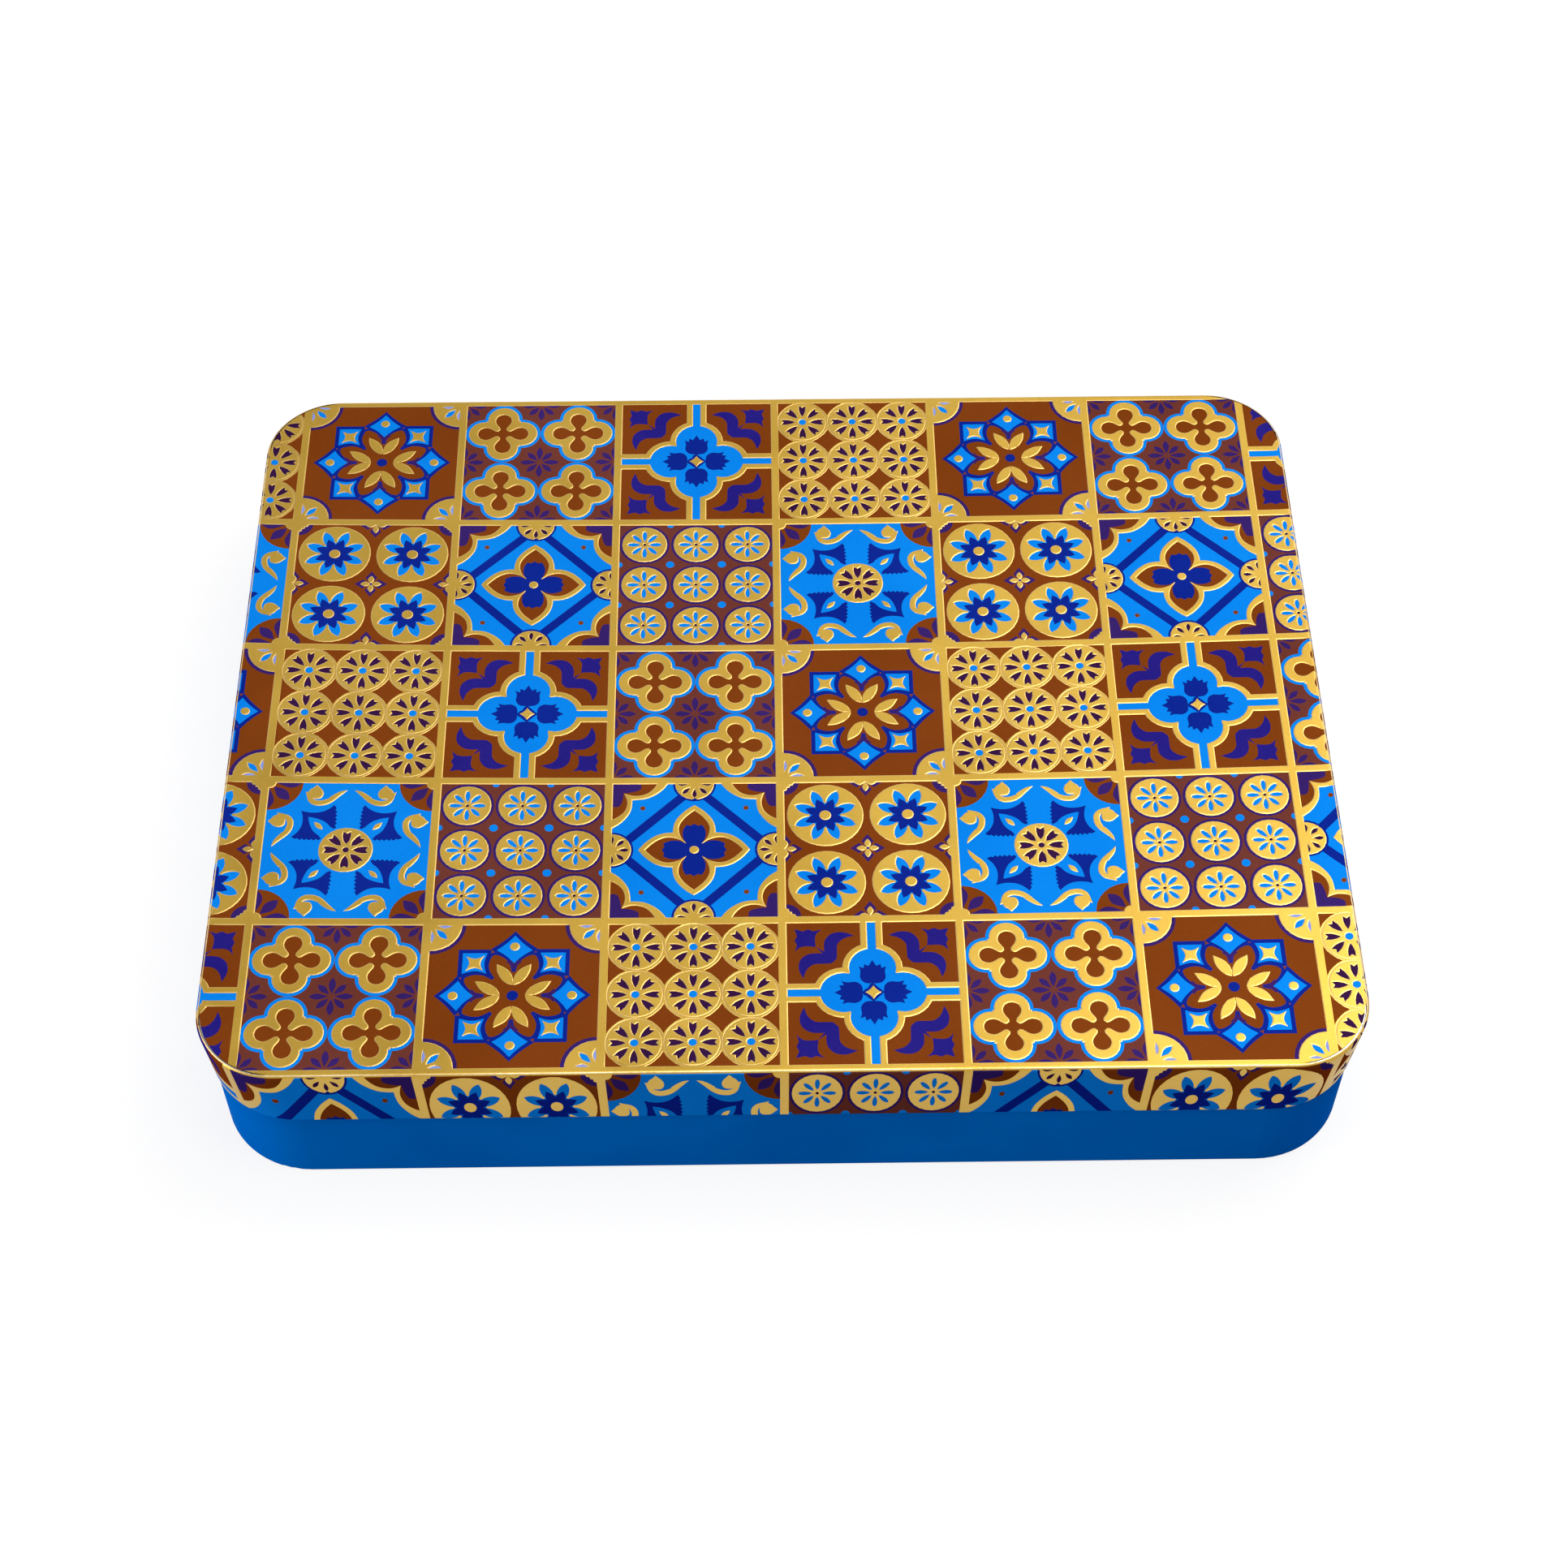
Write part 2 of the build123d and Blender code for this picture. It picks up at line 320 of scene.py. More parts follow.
def diamond_flower():
    """A four-petalled flower in a diamond band, with half rosettes at its points."""
    def field(*half):
        return outline(*half, *swapped(half[:-1]))

    gold = field((0.52, 0.52), (0.12, 0.52), (0.156, 0.476), (0.202, 0.418, 1), (0.275, 0.372, 1),
        (0.36, 0.362))
    brown = field((0.52, 0.52), (0.19, 0.52), (0.22, 0.476), (0.245, 0.436, 1), (0.285, 0.403, 1),
        (0.345, 0.391, 1), (0.408, 0.411))
    violet = field((0.52, 0.52), (0.315, 0.52), (0.312, 0.472), (0.316, 0.436, 1), (0.362, 0.418, 1),
        (0.411, 0.414))
    petal = symmetric([(0, 0), (0.124, 0.124), (0.119, 0.175, 1), (0.1, 0.225, 1), (0.055, 0.28, 1),
        (0, 0.322)])
    core = symmetric([(0, 0), (0.07, 0.078), (0.087, 0.125, 1), (0.086, 0.175, 1), (0.055, 0.23, 1),
        (0, 0.282)])
    heart = symmetric([(0, 0), (0.045, 0.045), (0.065, 0.09, 1), (0.064, 0.14, 1), (0.045, 0.178),
        (0.022, 0.172), (0, 0.187)])
    return [
        ("sky", [square(0.5)]),
        ("navy", turned([square(0.492 / sqrt(2))], 1, 45)),
        ("sky", turned([square(0.412 / sqrt(2))], 1, 45)),
        ("gold", turned([gold], 4)),
        ("brown", turned([brown], 4)),
        ("violet", turned([violet], 4)),
        ("navy", put([disc(0, 0, 0.127)], *MIDDLES)),
        ("gold", put([disc(0, 0, 0.114)], *MIDDLES) + turned([petal], 4) + [disc(0, 0, 0.16)]),
        ("dark", put(turned([leaf(0.038, 0.1, 0.026, 0.6)], 8), *MIDDLES)),
        ("brown", turned([core, disc(0.3, 0.3, 0.016)], 4)),
        ("navy", turned([heart], 4)),
        ("gold", [disc(0, 0, 0.028)]),
    ]


def scrolls():
    """Eight scrolls round four bell flowers and a rosette."""
    scroll = outline((-0.02, 0.426), (-0.062, 0.384, 1), (-0.105, 0.34, 1), (-0.15, 0.317, 1),
        (-0.205, 0.316, 1), (-0.242, 0.345, 1), (-0.256, 0.39, 1), (-0.263, 0.414), (-0.225, 0.4, 1),
        (-0.21, 0.375, 1), (-0.19, 0.361, 1), (-0.165, 0.357, 1), (-0.132, 0.367, 1), (-0.09, 0.4, 1),
        (-0.055, 0.42, 1))
    head = [disc(-0.203, 0.4, 0.046), [(-0.232, 0.43), (-0.2, 0.464), (-0.168, 0.43)]]
    pair = [scroll, *head]
    pair += [[(-y, -x) for x, y in shape] for shape in pair]
    teeth = [(0.088, 0.32), (0.074, 0.296), (0.08, 0.283), (0.067, 0.27), (0.078, 0.256), (0.065, 0.243),
             (0.077, 0.229), (0.064, 0.216), (0.076, 0.202), (0.064, 0.189), (0.076, 0.175), (0.066, 0.163)]
    wing = [(0.225, 0.264, 1), (0.171, 0.266, 1), (0.125, 0.286, 1)] + teeth + [(0.077, 0.147), (0.1, 0.162)]
    bell = outline((0.277, 0.277), *wing, *swapped(wing))
    lobe = [(0.232, 0.232), (0.182, 0.221, 1), (0.131, 0.196, 1), (0.094, 0.152)]
    petal = symmetric([(0, 0.04), (0.017, 0.066), (0.0235, 0.1), (0.021, 0.128), (0, 0.114)])
    curl = outline((-0.118, 0.371), (-0.15, 0.356, 1), (-0.186, 0.35, 1), (-0.221, 0.364), (-0.19, 0.362, 1),
                   (-0.165, 0.371, 1), (-0.15, 0.394))
    curls = [curl, [(-y, -x) for x, y in curl]]
    wedge = turned([leaf(0.04, 0.175, 0.066, 0.55)], 1, -45)
    return [
        ("sky", [square(0.5)]),
        ("brown", put([disc(0, 0, 0.197)], *CORNERS)),
        ("violet", put(turned([leaf(0.04, 0.19, 0.07, 0.6)], 4), *CORNERS)
         + turned(put(wedge, (-INNER, -INNER)), 4)),
        ("gold", put([disc(0, 0, 0.04)], *CORNERS) + both(turned(pair, 2))),
        ("sky", both(turned(curls, 2))),
        ("navy", turned([bell], 4)),
        ("sky", turned([outline(*lobe, (0.05, 0.05), *swapped(lobe[1:]))], 4)),
        ("gold", turned([leaf(0.202, 0.278, 0.032)], 4, 45) + [disc(0, 0, 0.156)]),
        ("dark", turned([petal], 8) + [disc(0, 0, 0.019)]),
    ]


def nine_small():
    """Nine separate rosettes with dots between them."""
    petal = [(0, 0.026), (0.01, 0.045), (0.0145, 0.072), (0.01, 0.097), (0, 0.105), (-0.01, 0.097),
        (-0.0145, 0.072), (-0.01, 0.045)]
    return [
        ("plum", [square(0.5)]),
        ("violet", put([disc(0, 0, 0.156)], *NINE)),
        ("sky", put([disc(0, 0, 0.026)], *BETWEEN) + turned(put([disc(0, 0, 0.022)], *BESIDE), 4)),
        ("gold", put([disc(0, 0, 0.14)], *NINE)),
        ("sky", put(turned([petal], 8), *NINE)),
        ("dark", put([disc(0, 0, 0.01)], *NINE)),
    ]


# The drawn lid, from its printed flat sheet. A point's run is how far it lies outside the flat panel.
CORE_X = LENGTH / 2 - TOP_CORNER
CORE_Y = DEPTH / 2 - TOP_CORNER
PANEL_RADIUS = TOP_CORNER - FOLD
EDGE_X = CORE_X + PANEL_RADIUS
EDGE_Y = CORE_Y + PANEL_RADIUS
FOLD_RUN = FOLD * pi / 2
SKIRT_LOW = HEIGHT - SKIRT + LID_CURL
SKIRT_RUN = FOLD_RUN + (HEIGHT - FOLD - SKIRT_LOW) / STRETCH
SHEET_RUN = SKIRT_RUN + LID_CURL * pi / 2
FADE_RUN = 1.6

# The steps of the mesh round the fold and the curl. A painted highlight, a pale line, lies on the fold's
# second step.
FOLD_STEPS = 5
CURL_STEPS = 3
HIGHLIGHT_RUNS = (FOLD_RUN / FOLD_STEPS, FOLD_RUN * 2 / FOLD_STEPS)

# Round a corner the tiles of two sides meet at a bar, this many steps from either side
STEP = 3.75
LONG_END, LONG_STEPS = 3 * PITCH, 9
SHORT_END, SHORT_STEPS = 2.5 * PITCH, 15


def sign(value):
    """1 for a positive number, and -1 for any other."""
    return 1 if value > 0 else -1


def run_of(x, y):
    """How far a point of the flat sheet lies outside the panel, and the direction it lies in."""
    over_x, over_y = max(abs(x) - CORE_X, 0), max(abs(y) - CORE_Y, 0)
    away = hypot(over_x, over_y)
    if away < 1e-9:
        return -PANEL_RADIUS, (0, 0)
    return away - PANEL_RADIUS, (over_x / away * sign(x), over_y / away * sign(y))


def past_panel(x, y):
    """That distance alone."""
    return run_of(x, y)[0]


def panel(x, y):
    """The height of the sunk panel, and its normal."""
    u, v = 2 * x / LENGTH, 2 * y / DEPTH
    height = HEIGHT - DISH * max(1 - u * u, 0) * max(1 - v * v, 0)
    slope_x = 2 * DISH * u * (1 - v * v) / (LENGTH / 2)
    slope_y = 2 * DISH * v * (1 - u * u) / (DEPTH / 2)
    return height, Vector((-slope_x, -slope_y, 1)).normalized()


def relief_at(x, y):
    """How deep the ground lies under the gold: it fades out just before the fold."""
    share = min(max(-past_panel(x, y) / FADE_RUN, 0), 1)
    return RELIEF * share * share * (3 - 2 * share)


def low_edge(x, y, out_x, out_y):
    """Where a point of the skirt's upper outline comes down to on its lower one, and the way out of it."""
    beside = abs(out_x) > abs(out_y)
    along = abs(y) if beside else abs(x)
    half, other = (DEPTH / 2, LENGTH / 2) if beside else (LENGTH / 2, DEPTH / 2)
    turn = atan2(min(abs(out_x), abs(out_y)), max(abs(out_x), abs(out_y)))
    run = half - TOP_CORNER + TOP_CORNER * turn if turn else along
    run *= (half - CORNER * (1 - pi / 4)) / (half - TOP_CORNER * (1 - pi / 4))
    turn = max(run - half + CORNER, 0) / CORNER
    aside = min(run, half - CORNER) + CORNER * sin(turn)
    across = other - CORNER * (1 - cos(turn))
    place, out = (aside, across), (sin(turn), cos(turn))
    if beside:
        place, out = place[::-1], out[::-1]
    signs = sign(x), sign(y)
    return tuple(Vector((pair[0] * signs[0], pair[1] * signs[1], 0)) for pair in (place, out))


def skirt(x, y, out, share):
    """A point of the skirt that share of the way down from the outline point, and the direction out of it."""
    low, low_out = low_edge(x, y, out.x, out.y)
    high = Vector((x, y, 0))
    lean = (low - high).dot(out) / (HEIGHT - FOLD - SKIRT_LOW)
    return high.lerp(low, share), (out.lerp(low_out, share) + Vector((0, 0, lean))).normalized()


def drawn(x, y, depth=0):
    """Where a point of the flat sheet lies on the lid, and the normal there."""
    run, (out_x, out_y) = run_of(x, y)
    if run <= 0:
        height, normal = panel(x, y)
        return Vector((x, y, height)) - normal * depth, normal
    corner = Vector((min(max(x, -CORE_X), CORE_X), min(max(y, -CORE_Y), CORE_Y), 0))
    out = Vector((out_x, out_y, 0))
    edge = corner + out * PANEL_RADIUS
    height, normal = panel(edge.x, edge.y)
    middle = Vector((edge.x, edge.y, height - FOLD))
    up = Vector((0, 0, 1))
    if run <= FOLD_RUN:
        turn = run / FOLD
        share = run / FOLD_RUN
        face = (out * sin(turn) + up * cos(turn)).normalized()
        look = (face + (normal - up) * (1 - share)).normalized()
        return middle + face * FOLD - look * depth, look
    top = corner + out * TOP_CORNER
    if run <= SKIRT_RUN:
        share = (run - FOLD_RUN) / (SKIRT_RUN - FOLD_RUN)
        point, look = skirt(top.x, top.y, out, share)
        point.z = middle.z + (SKIRT_LOW - middle.z) * share
        return point - look * depth, look
    turn = (run - SKIRT_RUN) / LID_CURL
    low, out = low_edge(top.x, top.y, out.x, out.y)
    face = out * cos(turn) - up * sin(turn)
    return low + up * SKIRT_LOW + out * -LID_CURL + face * LID_CURL, face


def stops(core):
    """Where the edge of the panel is divided along a straight side."""
    count = int(core * CELLS / PITCH)
    inner = [k * PITCH / CELLS for k in range(-count, count + 1) if abs(k) * PITCH / CELLS < core - EASING]
    return [EASING - core, EASING / 2 - core, *inner, core - EASING, core - EASING / 2]


def round_line(run):
    """A closed line on the flat sheet, at one run outside the panel."""
    points = []
    reach = PANEL_RADIUS + run
    for quarter, (i, j) in enumerate(((1, 1), (-1, 1), (-1, -1), (1, -1))):
        for step in range(round(90 / STEP) + 1):
            turn = radians(90 * quarter + STEP * step)
            points.append((i * CORE_X + reach * cos(turn), j * CORE_Y + reach * sin(turn)))
        if quarter % 2:
            points += [(i * (CORE_X + reach), i * place) for place in stops(CORE_Y)]
        else:
            points += [(-j * place, j * (CORE_Y + reach)) for place in stops(CORE_X)]
    return points


def panel_guides():
    """Lines that the mesh of the panel has to follow: where the relief fades, and its edge."""
    rings = [round_line(run) for run in (-FADE_RUN, -FADE_RUN / 2, 0)]
    lines = [line for ring in rings for line in sides(ring)]
    return lines + list(zip(rings[0], rings[-1]))


def side_guides():
    """Lines that the mesh of the skirt has to follow: along the fold and the curl, and down at each step."""
    runs = [FOLD_RUN * k / FOLD_STEPS for k in range(FOLD_STEPS + 1)]
    runs += [SKIRT_RUN + (SHEET_RUN - SKIRT_RUN) * k / CURL_STEPS for k in range(CURL_STEPS + 1)]
    lines = []

    def front(x, side, run=SHEET_RUN):
        return (x, side * EDGE_Y), (x, side * (EDGE_Y + run))

    def end(y, side, run=SHEET_RUN):
        return (side * EDGE_X, y), (side * (EDGE_X + run), y)

    for i in (-1, 1):
        for run in runs:
            lines.append(((-LONG_END, i * (EDGE_Y + run)), (LONG_END, i * (EDGE_Y + run))))
            lines.append(((i * (EDGE_X + run), -SHORT_END), (i * (EDGE_X + run), SHORT_END)))
        lines += [front(x, i, runs[1]) for x in stops(CORE_X)]
        lines += [end(y, i, runs[1]) for y in stops(CORE_Y)]
        for j in (-1, 1):
            for k in range(LONG_STEPS):
                lines.append(front(i * (CORE_X + (LONG_END - CORE_X) * k / LONG_STEPS), j))
            for k in range(SHORT_STEPS):
                lines.append(end(i * (CORE_Y + (SHORT_END - CORE_Y) * k / SHORT_STEPS), j))
            for back in (EASING, EASING / 2):
                lines += [front(i * (CORE_X - back), j), end(i * (CORE_Y - back), j)]
    return lines


def past_edge(x, y):
    """How far a point of the pattern lies past the edge of the panel, on the side it belongs to."""
    return max(abs(x) - EDGE_X, abs(y) - EDGE_Y)


def wrapped(x, y):
    """Where a point of the pattern lies on the flat sheet: past the edge, tiles follow the skirt round."""
    run = past_edge(x, y)
    if run < 1e-6:
        return x, y
    beside = abs(x) > EDGE_X
    along, core, end, steps = abs(x), CORE_X, LONG_END, LONG_STEPS
    if beside:
        along, core, end, steps = abs(y), CORE_Y, SHORT_END, SHORT_STEPS
    step, share = divmod(max(along - core, 0) / (end - core) * steps, 1)
    reach = PANEL_RADIUS + run
    near, far = radians(STEP * step), radians(STEP * (step + 1))
    aside = reach * ((1 - share) * sin(near) + share * sin(far)) + min(along, core)
    out = reach * ((1 - share) * cos(near) + share * cos(far)) + (CORE_X if beside else CORE_Y)
    far_x, far_y = (out, aside) if beside else (aside, out)
    return far_x * sign(x), far_y * sign(y)


def clipped(start, end, low, high):
    """The part of a line that lies in an upright rectangle, or nothing."""
    enter, leave = 0.0, 1.0
    for axis in (0, 1):
        step = end[axis] - start[axis]
        if abs(step) < 1e-12:
            if not low[axis] <= start[axis] <= high[axis]:
                return None
            continue
        near, far = sorted(((low[axis] - start[axis]) / step, (high[axis] - start[axis]) / step))
        enter, leave = max(enter, near), min(leave, far)
    if leave - enter < 1e-9:
        return None
    return [tuple(start[axis] + (end[axis] - start[axis]) * t for axis in (0, 1)) for t in (enter, leave)]


def inside(points, shape):
    """Which of the points lie in the shape."""
    x, y = points[:, 0], points[:, 1]
    found = np.zeros(len(points), bool)
    for (x1, y1), (x2, y2) in sides(shape):
        if y1 != y2:
            found ^= ((y1 > y) != (y2 > y)) & (x < (x2 - x1) * (y - y1) / (y2 - y1) + x1)
    return found


def paint_at(points, layers):
    """The number of the paint that shows at each point of a tile: the last shape laid over it."""
    paints = np.zeros(len(points), int)
    for paint, shapes in layers:
        for shape in shapes:
            paints[inside(points, shape)] = PAINTS.index(paint)
    outside = np.abs(points).max(axis=1) > INNER
    paints[outside] = PAINTS.index("gold")
    return paints


def triangulated(lines, points=()):
    """A flat mesh that follows the lines and takes in the points."""
    places = [Vector(point) for line in lines for point in line] + [Vector(point) for point in points]
    edges = [(2 * k, 2 * k + 1) for k in range(len(lines))]
    made = delaunay_2d_cdt(places, edges, [], 0, 1e-6)
    corners = np.array([tuple(point) for point in made[0]])
    _, first, same = np.unique(corners.round(5), axis=0, return_index=True, return_inverse=True)
    faces = [(face[0], face[k], face[k + 1]) for face in made[2] for k in range(1, len(face) - 1)]
    faces = [[same[corner] for corner in face] for face in faces]
    return corners[first], np.array([face for face in faces if len(set(face)) == 3])


def seams(layers):
    """The lines of a tile along which its paint changes, and the edge of its field."""
    lines = [line for _, shapes in layers for shape in shapes for line in sides(shape)]
    lines = [clipped(a, b, (-INNER, -INNER), (INNER, INNER)) for a, b in lines]
    lines = [line for line in lines if line] + sides(square(INNER))
    points, faces = triangulated(lines)
    paints = paint_at(points[faces].mean(axis=1), layers)
    mesh = bmesh.new()
    verts = [mesh.verts.new((x, y, 0)) for x, y in points]
    for face, paint in zip(faces, paints):
        mesh.faces.new([verts[i] for i in face]).material_index = int(paint)
    bmesh.ops.dissolve_limit(mesh, angle_limit=0.01, verts=mesh.verts, edges=mesh.edges, delimit={"MATERIAL"})

    def is_seam(edge):
        return edge.is_boundary or len({face.material_index for face in edge.link_faces}) > 1

    kept = [edge for edge in mesh.edges if is_seam(edge)]
    lines = [tuple((vert.co.x, vert.co.y) for vert in edge.verts) for edge in kept]
    mesh.free()
    return lines


class Sheet:
    """The lid's mesh as it grows: points, faces, the paint of each face and the normal of each corner."""

    def __init__(self):
        self.points, self.faces, self.paints, self.normals = [], [], [], []
        self.known = {}

    def add_point(self, point):
        """The number of a point, which neighbours share."""
        key = tuple(round(value, 4) for value in point)
        if key not in self.known:
            self.known[key] = len(self.points)
            self.points.append(point)
        return self.known[key]

    def add_face(self, corners, paint, normals):
        """Adds a face, turned so that it looks the way its normals do."""
        kept = [k for k, corner in enumerate(corners) if corner != corners[k - 1]]
        if len(kept) < 3:
            return
        corners, normals = [corners[k] for k in kept], [normals[k] for k in kept]
        a, b, c = (self.points[corner] for corner in corners[:3])
        if (b - a).cross(c - a).dot(sum(normals, Vector())) < 0:
            corners, normals = corners[::-1], normals[::-1]
        self.faces.append(corners)
        self.paints.append(paint)
        self.normals.append(normals)


def add_tile(sheet, motif_lines, layers, middle, guides, runs, run_at):
    """One tile of the print, as much of it as lies between two runs."""
    low, high = middle - PITCH / 2, middle + PITCH / 2
    lines = list(motif_lines)
    for start, end in guides:
        line = clipped(start, end, low, high)
        if line:
            lines.append([tuple((np.array(point) - middle) / PITCH) for point in line])
    steps = [k / CELLS - 0.5 for k in range(CELLS + 1)]
    for a, b in zip(steps, steps[1:]):
        lines += [((a, -0.5), (b, -0.5)), ((a, 0.5), (b, 0.5)), ((-0.5, a), (-0.5, b)), ((0.5, a), (0.5, b))]
    grid = [(a, b) for a in steps[1:-1] for b in steps[1:-1]]
    grid = [(a, b) for a, b in grid if past_panel(middle[0] + a * PITCH, middle[1] + b * PITCH) < -FADE_RUN]
    points, faces = triangulated(lines, grid)
    paints = paint_at(points[faces].mean(axis=1), layers)
    flat = points * PITCH + middle
    keep = [runs[0] < run_at(*flat[face].mean(axis=0)) < runs[1] for face in faces]
    faces, paints = faces[keep].tolist(), paints[keep]
    # Faces on the fold's second step take the painted highlight
    painted_fold_highlight = [HIGHLIGHT_RUNS[0] < past_edge(*flat[face].mean(axis=0)) < HIGHLIGHT_RUNS[1] for face in faces]
    paints[np.array(painted_fold_highlight, bool)] = PAINTS.index("painted_fold_highlight")
    flat = np.array([wrapped(x, y) for x, y in flat])
    add_relief(sheet, flat, faces, paints)


def add_relief(sheet, flat, faces, paints):
    """The flat mesh drawn to the lid's form, its gold raised over the ground by a sloped edge."""
    gold = paints == PAINTS.index("gold")
    owner = {}
    for number, face in enumerate(faces):
        owner.update({side: number for side in sides(face)})
    corners = [list(face) for face in faces]
    shifts, ends, starts = {}, {}, {}
    for (a, b), number in owner.items():
        other = owner.get((b, a))
        if not gold[number] or other is None or gold[other] or relief_at(*flat[b]) == 0:
            continue
        fan, edge = [number], (b, following(faces[number], b))
        while True:
            across = owner.get((edge[1], edge[0]))
            if across is None or not gold[across] or across == number:
                break
            fan.append(across)
            edge = (b, following(faces[across], b))
        shift = inward(flat[a], flat[b], flat[edge[1]])
        top = (b, len(shifts))
        shifts[top] = shift
        for member in fan:
            corners[member][faces[member].index(b)] = top
        ends[(a, b)] = top
        starts[edge] = top
    settle(flat, faces, corners, shifts)
    ground = {vertex for face, is_gold in zip(faces, gold) if not is_gold for vertex in face}
    index = {}

    def corner(vertex):
        if vertex not in index:
            top = isinstance(vertex, tuple)
            x, y = flat[vertex[0]] + shifts[vertex] if top else flat[vertex]
            place, normal = drawn(x, y, relief_at(x, y) if not top and vertex in ground else 0)
            index[vertex] = (sheet.add_point(place), normal)
        return index[vertex]

    for number, face in enumerate(corners):
        made = [corner(vertex) for vertex in face]
        sheet.add_face([m[0] for m in made], int(paints[number]), [m[1] for m in made])
    for (a, b), top_b in ends.items():
        add_slope(sheet, flat, index, a, b, starts.get((a, b), a), top_b)
    for (a, b), top_a in starts.items():
        if (a, b) not in ends:
            add_slope(sheet, flat, index, a, b, top_a, b)


def following(face, vertex):
    """The next vertex of a face after this one."""
    return face[(face.index(vertex) + 1) % len(face)]


def inward(before, here, after):
    """How far a vertex on the edge of the gold moves into it, to leave room for the slope."""
    first, second = here - before, after - here
    first = np.array((-first[1], first[0])) / hypot(*first)
    second = np.array((-second[1], second[0])) / hypot(*second)
    middle = first + second
    size = middle @ middle
    if size < SHARPEST:
        return first * 0
    shift = middle * 2 * SLOPE / size
    return shift * min(1, FARTHEST * SLOPE / hypot(*shift))


def settle(flat, faces, corners, shifts):
    """Takes back shifts that would turn a triangle of the gold over."""
    for _ in range(ROUNDS):
        worst = set()
        for number, face in enumerate(corners):
            tops = [v for v in face if isinstance(v, tuple)]
            if not tops:
                continue
            was = flat[faces[number]]
            now = np.array([flat[v[0]] + shifts[v] if isinstance(v, tuple) else flat[v] for v in face])
            if signed_area(now) < KEPT_AREA * signed_area(was):
                worst.update(tops)
        if not worst:
            return
        for top in worst:
            shifts[top] = shifts[top] * EASED
    for top in worst:
        shifts[top] = shifts[top] * 0


def signed_area(triangle):
    """Twice a triangle's area, negative if it runs clockwise."""
    (x1, y1), (x2, y2), (x3, y3) = triangle
    return (x2 - x1) * (y3 - y1) - (x3 - x1) * (y2 - y1)


def add_slope(sheet, flat, index, a, b, top_a, top_b):
    """The sloped edge between the ground and the gold over one edge of the gold."""
    if a not in index or b not in index:
        return
    edge = flat[b] - flat[a]
    out = np.array((edge[1], -edge[0])) / hypot(*edge)
    normals = []
    for vertex, share in ((a, FOOT_TILT), (b, FOOT_TILT), (top_b, TOP_TILT), (top_a, TOP_TILT)):
        base = vertex[0] if isinstance(vertex, tuple) else vertex
        tilt = share * relief_at(*flat[base]) / SLOPE
        normal = index[vertex][1]
        normals.append((normal + Vector((out[0], out[1], 0)) * tilt).normalized())
    loop = [index[vertex][0] for vertex in (a, b, top_b, top_a)]
    if top_a == a:
        loop, normals = loop[:3], normals[:3]
    if top_b == b:
        loop, normals = loop[:2] + loop[3:], normals[:2] + normals[3:]
    # The slope takes the paler rim gold, a painted highlight along the gold's edge
    sheet.add_face(loop, PAINTS.index("rim"), normals)


def ring_at(inset, height):
    """The skirt's outline at a height, taken in by an inset, with the outward direction at each point."""
    share = min(max((HEIGHT - FOLD - height) / (HEIGHT - FOLD - SKIRT_LOW), 0), 1)
    ring = []
    for quarter, (i, j) in enumerate(((1, 1), (-1, 1), (-1, -1), (1, -1))):
        way = Vector((cos(pi / 2 * quarter), sin(pi / 2 * quarter), 0))
        middle = Vector((i * CORE_X, j * CORE_Y, 0))
        start = middle + way * TOP_CORNER
        places = [(start + Vector((way.y, -way.x, 0)) * back, way) for back in (EASING, EASING / 2)]
        for step in range(round(90 / STEP) + 1):
            turn = radians(90 * quarter + STEP * step)
            out = Vector((cos(turn), sin(turn), 0))
            places.append((middle + out * TOP_CORNER, out))
        way = Vector((-way.y, way.x, 0))
        end = places[-1][0]
        places += [(end + Vector((-way.y, way.x, 0)) * ahead, way) for ahead in (EASING / 2, EASING)]
        for place, out in places:
            point, look = skirt(place.x, place.y, out, share)
            look.z = 0
            ring.append((point - look.normalized() * inset, look.normalized()))
    return ring


def add_skin(sheet):
    """The rest of the lid's sheet: the roll of its curl, and the bare inside up to the panel."""
    section = []

    def bend(inset, height, radius, side, *turns):
        for turn in map(radians, range(*turns)):
            x, z = cos(turn), -sin(turn)
            section.append((inset - radius * x, height + radius * z, (side * x, side * z)))

    bend(LID_CURL, SKIRT_LOW, LID_CURL, 1, 90, LID_CURL_TURN + 1, 11)
    bend(LID_CURL, SKIRT_LOW, TIN, -1, LID_CURL_TURN, -1, -20)
    bend(FOLD, HEIGHT - FOLD, FOLD - TIN, -1, 0, -91, -15)
    rings = []
    for inset, height, (away, up) in section:
        ring = []
        for point, out in ring_at(inset, height):
            if height > HEIGHT - FOLD:
                height = min(height, panel(point.x, point.y)[0] - TIN)
            place = sheet.add_point(Vector((point.x, point.y, height)))
            ring.append((place, (out * away + Vector((0, 0, up))).normalized()))
        rings.append(ring)
    tin = PAINTS.index("tin")
    for low, high in zip(rings, rings[1:]):
        for k in range(len(low)):
            loop = (low[k - 1], low[k], high[k], high[k - 1])
            sheet.add_face([v[0] for v in loop], tin, [v[1] for v in loop])
    rim = [(sheet.points[place].x, sheet.points[place].y) for place, _ in rings[-1]]
    grid = [(x * 10.0, y * 9.5) for x in range(-12, 13) for y in range(-10, 11)]
    points, faces = triangulated(sides(rim), [spot for spot in grid if past_panel(*spot) < -2])
    places = []
    for x, y in points:
        height, normal = panel(x, y)
        places.append((sheet.add_point(Vector((x, y, height - TIN))), -normal))
    for face in faces:
        sheet.add_face([places[i][0] for i in face], tin, [places[i][1] for i in face])


def placed(name, data):
    """A new object in the scene."""
    made = bpy.data.objects.new(name, data)
    bpy.context.scene.collection.objects.link(made)
    return made


